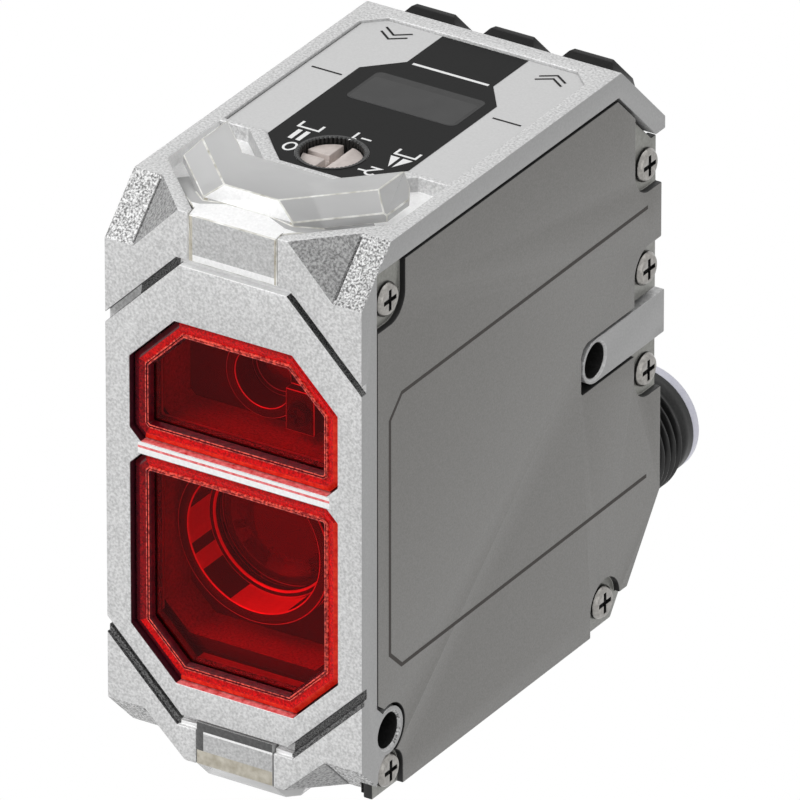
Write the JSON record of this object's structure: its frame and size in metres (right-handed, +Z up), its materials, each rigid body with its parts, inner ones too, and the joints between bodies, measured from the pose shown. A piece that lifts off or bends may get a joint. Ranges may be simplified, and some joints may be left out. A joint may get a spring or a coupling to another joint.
{
  "type": "laser photoelectric sensor",
  "caption": "Laser distance sensor in a die-cast box with red windows, a display, a dial, keys, clear light strips and a swivelling M12 plug.",
  "frame": {"origin": "on the axis of the rear fixing hole, halfway across the housing", "axes": "+X across the housing towards the side cover, +Y from the front windows to the back, +Z up"},
  "size_m": [0.0274, 0.0715, 0.06],
  "materials": {
    "cast_silver": "satin silver with a fine sand texture",
    "cover_grey": "satin grey",
    "seal_black": "matte",
    "screw_steel": "satin",
    "window_red": "clear deep red",
    "optics_black": "matte",
    "barrel_black": "black anodised",
    "lens_clear": "clear",
    "diode_gold": "bright",
    "chip_black": "matte",
    "board_green": "solder mask",
    "header_ivory": "matte",
    "display_black": "gloss",
    "display_pane": "dark grey, gloss",
    "panel_grey": "satin light grey",
    "dial_cream": "satin",
    "key_black": "satin",
    "strip_clear": "clear",
    "plug_black": "satin",
    "insert_grey": "matte",
    "ring_pale": "satin pale grey"
  },
  "bodies": {
    "body": {"housing": "cast_silver", "side_cover": "cover_grey", "cover_gasket": "seal_black", "cover_screws": "screw_steel", "upper_window": "window_red", "lower_window": "window_red", "upper_window_seal": "seal_black", "lower_window_seal": "seal_black", "optics_chassis": "optics_black", "lens_barrel": "barrel_black", "receiver_lens": "lens_clear", "lens_ring": "barrel_black", "emitter_holder": "optics_black", "emitter_lens": "lens_clear", "laser_diode": "diode_gold", "holder_screw": "screw_steel", "image_sensor": "chip_black", "sensor_board": "board_green", "main_board": "board_green", "board_screws": "screw_steel", "processor": "chip_black", "power_coil": "chip_black", "sensor_header": "header_ivory", "panel_header": "header_ivory", "panel_board": "board_green", "display_module": "display_black", "display_pane": "display_pane", "panel_sheet": "panel_grey", "dial_switch": "chip_black", "dial_seal": "seal_black", "key_board": "board_green", "key_switch_left": "screw_steel", "key_switch_centre": "screw_steel", "key_switch_right": "screw_steel", "upper_light_strip": "strip_clear", "upper_led_left": "header_ivory", "upper_led_right": "header_ivory", "lower_light_strip": "strip_clear", "lower_led": "header_ivory", "lower_led_board": "board_green", "swivel_seal": "seal_black"},
    "dial": {"dial": "dial_cream"},
    "key_left": {"key_left": "key_black"},
    "key_centre": {"key_centre": "key_black"},
    "key_right": {"key_right": "key_black"},
    "plug": {"plug_elbow": "plug_black", "swivel_retainer": "screw_steel", "plug_shell": "plug_black", "plug_insert": "insert_grey", "plug_pins": "diode_gold", "plug_gasket": "seal_black", "plug_end_ring": "ring_pale"}
  },
  "joints": [
    {"name": "dial_turn", "type": "hinge", "parent": "body", "child": "dial", "pos_m": [-0.0004, -0.02265, 0.0266], "axis": [0, 0, 1], "range_deg": [-180, 0]},
    {"name": "key_left_press", "type": "slide", "parent": "body", "child": "key_left", "axis": [0, -0.7071, -0.7071], "range_m": [0, 0.0004], "stiffness_N_per_m": 300, "springref_m": -0.001},
    {"name": "key_centre_press", "type": "slide", "parent": "body", "child": "key_centre", "axis": [0, -0.7071, -0.7071], "range_m": [0, 0.0004], "stiffness_N_per_m": 300, "springref_m": -0.001},
    {"name": "key_right_press", "type": "slide", "parent": "body", "child": "key_right", "axis": [0, -0.7071, -0.7071], "range_m": [0, 0.0004], "stiffness_N_per_m": 300, "springref_m": -0.001},
    {"name": "plug_swivel", "type": "hinge", "parent": "body", "child": "plug", "pos_m": [0, 0.00705, -0.0236], "axis": [0, 0.7071, -0.7071], "range_deg": [0, 180]}
  ]
}
